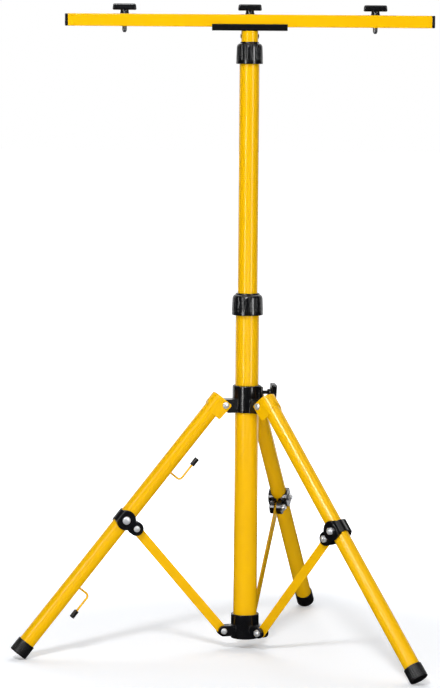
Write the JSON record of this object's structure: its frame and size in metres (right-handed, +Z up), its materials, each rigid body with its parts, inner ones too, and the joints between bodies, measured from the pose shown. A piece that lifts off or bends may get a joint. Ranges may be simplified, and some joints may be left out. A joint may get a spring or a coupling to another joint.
{
  "type": "telescopic light tripod",
  "caption": "Folding tripod stand with a telescopic mast, twist locks and a square crossbar with T knobs that holds work lamps.",
  "frame": {"origin": "point of the floor on the mast's axis, with the legs spread", "axes": "+Z up along the mast, +X along the crossbar, +Y to the back leg's side"},
  "size_m": [0.6675, 0.6482, 1.0419],
  "materials": {
    "yellow_coat": "semi-gloss powder coat",
    "black_moulding": "satin moulded",
    "black_rubber": "matt",
    "zinc_steel": "bright zinc",
    "white_nylon": "natural nylon"
  },
  "bodies": {
    "mast_base": {"main_tube": "yellow_coat", "lower_spider": "black_moulding", "lower_lock_sleeve": "black_moulding", "lower_lock_wedge": "white_nylon", "spider_bolt_rear": "zinc_steel", "spider_bolt_left": "zinc_steel", "spider_bolt_right": "zinc_steel"},
    "lower_collar": {"lower_lock_collar": "black_moulding"},
    "mid_slide": {"mid_tube_bush": "white_nylon"},
    "mid_mast": {"mid_tube": "yellow_coat", "upper_lock_sleeve": "black_moulding", "upper_lock_wedge": "white_nylon"},
    "upper_collar": {"upper_lock_collar": "black_moulding"},
    "top_slide": {"top_tube_bush": "white_nylon"},
    "head": {"top_tube": "yellow_coat", "cradle": "black_moulding", "neck_rivet": "zinc_steel", "crossbar": "yellow_coat", "end_cap_left": "black_moulding", "end_cap_right": "black_moulding", "square_nut_left": "zinc_steel", "square_nut_right": "zinc_steel"},
    "left_bar_knob": {"knob_left": "black_moulding", "stud_left": "zinc_steel"},
    "centre_bar_knob": {"knob_centre": "black_moulding", "stud_centre": "zinc_steel"},
    "right_bar_knob": {"knob_right": "black_moulding", "stud_right": "zinc_steel"},
    "sliding_hub": {"hub": "black_moulding", "hub_bolt_rear": "zinc_steel", "hub_bolt_left": "zinc_steel", "hub_bolt_right": "zinc_steel"},
    "hub_lock": {"hub_knob": "black_moulding", "hub_knob_screw": "zinc_steel"},
    "rear_leg": {"leg_tube_rear": "yellow_coat", "leg_bracket_rear": "yellow_coat", "leg_foot_rear": "black_rubber", "leg_clamp_rear": "black_moulding", "clamp_bolt_rear": "zinc_steel", "strut_bolt_rear": "zinc_steel"},
    "rear_strut": {"strut_rear": "yellow_coat"},
    "left_leg": {"leg_tube_left": "yellow_coat", "leg_bracket_left": "yellow_coat", "leg_foot_left": "black_rubber", "leg_clamp_left": "black_moulding", "clamp_bolt_left": "zinc_steel", "strut_bolt_left": "zinc_steel", "cable_hook_upper": "yellow_coat", "cable_hook_lower": "yellow_coat", "hook_tip_upper": "black_rubber", "hook_tip_lower": "black_rubber"},
    "left_strut": {"strut_left": "yellow_coat"},
    "right_leg": {"leg_tube_right": "yellow_coat", "leg_bracket_right": "yellow_coat", "leg_foot_right": "black_rubber", "leg_clamp_right": "black_moulding", "clamp_bolt_right": "zinc_steel", "strut_bolt_right": "zinc_steel"},
    "right_strut": {"strut_right": "yellow_coat"}
  },
  "joints": [
    {"name": "tripod_fold", "type": "hinge", "parent": "mast_base", "child": "rear_strut", "pos_m": [0.01065, 0.03596, 0.0303], "axis": [0.9588, -0.284, 0], "range_deg": [0, 38.23]},
    {"name": "rear_leg_fold", "type": "hinge", "parent": "rear_strut", "child": "rear_leg", "pos_m": [0.05231, 0.17659, 0.20408], "axis": [-0.9588, 0.284, 0], "range_deg": [-0.3, 73.53]},
    {"name": "hub_level", "type": "hinge", "parent": "rear_leg", "child": "sliding_hub", "pos_m": [0.01108, 0.03739, 0.40063], "axis": [0.9588, -0.284, 0], "range_deg": [-0.3, 35.3]},
    {"name": "left_leg_fold", "type": "hinge", "parent": "sliding_hub", "child": "left_leg", "pos_m": [-0.03749, -0.01075, 0.40063], "axis": [0.2756, -0.9613, 0], "range_deg": [-0.3, 35.3]},
    {"name": "left_strut_fold", "type": "hinge", "parent": "left_leg", "child": "left_strut", "pos_m": [-0.17704, -0.05076, 0.20408], "axis": [-0.2756, 0.9613, 0], "range_deg": [-0.3, 73.53]},
    {"name": "right_leg_fold", "type": "hinge", "parent": "sliding_hub", "child": "right_leg", "pos_m": [0.02782, -0.02734, 0.40063], "axis": [0.7009, 0.7133, 0], "range_deg": [-0.3, 35.3]},
    {"name": "right_strut_fold", "type": "hinge", "parent": "right_leg", "child": "right_strut", "pos_m": [0.13136, -0.12909, 0.20408], "axis": [-0.7009, -0.7133, 0], "range_deg": [-0.3, 73.53]},
    {"name": "hub_knob_turn", "type": "hinge", "parent": "sliding_hub", "child": "hub_lock", "pos_m": [0.02251, 0.00561, 0.41883], "axis": [0.9703, 0.2419, 0], "continuous": true},
    {"name": "lower_lock_twist", "type": "hinge", "parent": "mast_base", "child": "lower_collar", "pos_m": [0, 0, 0.5451], "axis": [0, 0, 1], "range_deg": [0, 120]},
    {"name": "mid_tube_slide", "type": "slide", "parent": "mast_base", "child": "mid_slide", "axis": [0, 0, 1], "range_m": [-0.3648, 0.072]},
    {"name": "mid_tube_turn", "type": "hinge", "parent": "mid_slide", "child": "mid_mast", "pos_m": [0, 0, 0.4328], "axis": [0, 0, 1], "continuous": true},
    {"name": "upper_lock_twist", "type": "hinge", "parent": "mid_mast", "child": "upper_collar", "pos_m": [0, 0, 0.9471], "axis": [0, 0, 1], "range_deg": [0, 120]},
    {"name": "top_tube_slide", "type": "slide", "parent": "mid_mast", "child": "top_slide", "axis": [0, 0, 1], "range_m": [-0.0046, 0.39]},
    {"name": "top_tube_turn", "type": "hinge", "parent": "top_slide", "child": "head", "pos_m": [0, 0, 0.4996], "axis": [0, 0, 1], "continuous": true},
    {"name": "left_bar_knob_turn", "type": "hinge", "parent": "head", "child": "left_bar_knob", "pos_m": [-0.2, 0, 1.0258], "axis": [0, 0, 1], "continuous": true},
    {"name": "centre_bar_knob_turn", "type": "hinge", "parent": "head", "child": "centre_bar_knob", "pos_m": [0, 0, 1.0258], "axis": [0, 0, 1], "continuous": true},
    {"name": "right_bar_knob_turn", "type": "hinge", "parent": "head", "child": "right_bar_knob", "pos_m": [0.2, 0, 1.0258], "axis": [0, 0, 1], "continuous": true}
  ],
  "couplings": [
    {"joint": "rear_leg_fold", "follows": "tripod_fold", "ratio": 1.9156},
    {"joint": "hub_level", "follows": "tripod_fold", "ratio": 0.91557},
    {"joint": "left_leg_fold", "follows": "tripod_fold", "ratio": 0.91557},
    {"joint": "left_strut_fold", "follows": "tripod_fold", "ratio": 1.9156},
    {"joint": "right_leg_fold", "follows": "tripod_fold", "ratio": 0.91557},
    {"joint": "right_strut_fold", "follows": "tripod_fold", "ratio": 1.9156}
  ]
}
